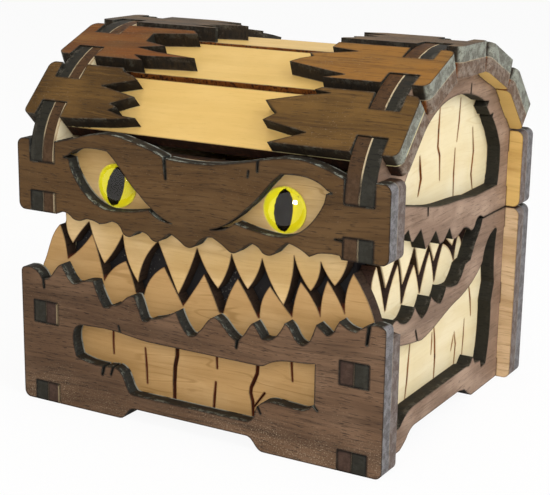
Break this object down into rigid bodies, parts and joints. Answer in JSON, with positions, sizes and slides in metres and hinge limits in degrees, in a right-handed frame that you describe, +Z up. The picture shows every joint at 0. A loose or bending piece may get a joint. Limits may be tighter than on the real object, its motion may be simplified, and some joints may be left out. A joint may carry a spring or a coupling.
{
  "type": "toothed dice storage chest",
  "caption": "Small barrel-lidded storage chest of layered laser-cut plywood, with a monster face on its front: interlocking teeth, glass eyes and a lid that opens on butt hinges.",
  "frame": {"origin": "On the ground under the middle of the closed chest: the centre of the bounding box's bottom face.", "axes": "+X to the right as one faces the chest's toothed front, +Y from the front to the hinged back, +Z up. The front looks along -Y."},
  "size_m": [0.089, 0.0782, 0.0818],
  "materials": {
    "dark_plywood": "satin walnut veneer with laser-charred edges",
    "light_plywood": "plain sanded maple veneer with laser-charred edges",
    "felt": "short-piled felt",
    "black_board": "matt black board",
    "eye_glass": "clear polished glass",
    "eye_print": "printed disc, yellow with a dark slit pupil",
    "brass": "lightly brushed brass"
  },
  "bodies": {
    "base": {"base_floor": "light_plywood", "base_front_maple": "light_plywood", "base_front_walnut": "dark_plywood", "base_hinge_screws": "brass", "base_left_maple": "light_plywood", "base_left_walnut": "dark_plywood", "base_rear_maple": "light_plywood", "base_rear_walnut": "dark_plywood", "base_right_maple": "light_plywood", "base_right_walnut": "dark_plywood", "floor_felt": "felt", "hinge_left_base_leaf": "brass", "hinge_left_pin": "brass", "hinge_right_base_leaf": "brass", "hinge_right_pin": "brass", "lining_front": "black_board", "lining_left": "black_board", "lining_rear": "black_board", "lining_right": "black_board"},
    "lid": {"eye_left_glass": "eye_glass", "eye_left_print": "eye_print", "eye_right_glass": "eye_glass", "eye_right_print": "eye_print", "hinge_left_lid_leaf": "brass", "hinge_right_lid_leaf": "brass", "lid_face_maple": "light_plywood", "lid_face_walnut": "dark_plywood", "lid_hinge_screws": "brass", "lid_left_maple": "light_plywood", "lid_left_walnut": "dark_plywood", "lid_rear_maple": "light_plywood", "lid_rear_walnut": "dark_plywood", "lid_right_maple": "light_plywood", "lid_right_walnut": "dark_plywood", "slat_1_maple": "light_plywood", "slat_1_walnut_left": "dark_plywood", "slat_1_walnut_right": "dark_plywood", "slat_2_maple": "light_plywood", "slat_2_walnut_left": "dark_plywood", "slat_2_walnut_right": "dark_plywood", "slat_3_maple": "light_plywood", "slat_3_walnut_left": "dark_plywood", "slat_3_walnut_right": "dark_plywood", "slat_4_maple": "light_plywood", "slat_4_walnut_left": "dark_plywood", "slat_4_walnut_right": "dark_plywood", "slat_5_maple": "light_plywood", "slat_5_walnut_left": "dark_plywood", "slat_5_walnut_right": "dark_plywood"}
  },
  "joints": [
    {"name": "lid_hinge", "type": "hinge", "parent": "base", "child": "lid", "pos_m": [0, 0.03775, 0.04135], "axis": [-1, 0, 0], "range_deg": [0, 105]}
  ]
}
